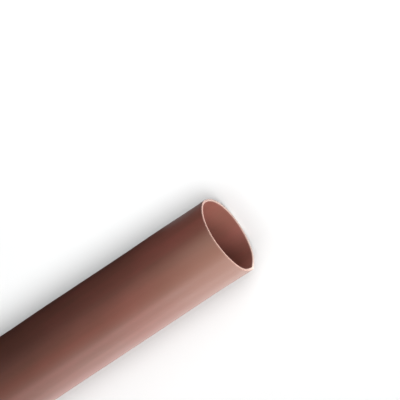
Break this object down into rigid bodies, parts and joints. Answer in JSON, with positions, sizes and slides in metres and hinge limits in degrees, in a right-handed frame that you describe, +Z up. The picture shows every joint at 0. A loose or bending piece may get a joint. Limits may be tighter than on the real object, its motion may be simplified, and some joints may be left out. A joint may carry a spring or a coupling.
{
  "type": "heat shrink tube",
  "caption": "Straight cut length of thin-wall brown heat shrink tube, open right through, with soft side folds pinched at its square-cut ends.",
  "frame": {"origin": "on the floor, under the middle of the tube's length", "axes": "+X along the tube, towards the cut end that the picture shows; +Y across the tube, along its flattening from fold to fold; +Z up, the tube's shortest way"},
  "size_m": [0.152, 0.0102, 0.01],
  "materials": {
    "brown_polyolefin": "satin"
  },
  "bodies": {
    "root": {"heat_shrink_tube": "brown_polyolefin"}
  },
  "joints": []
}
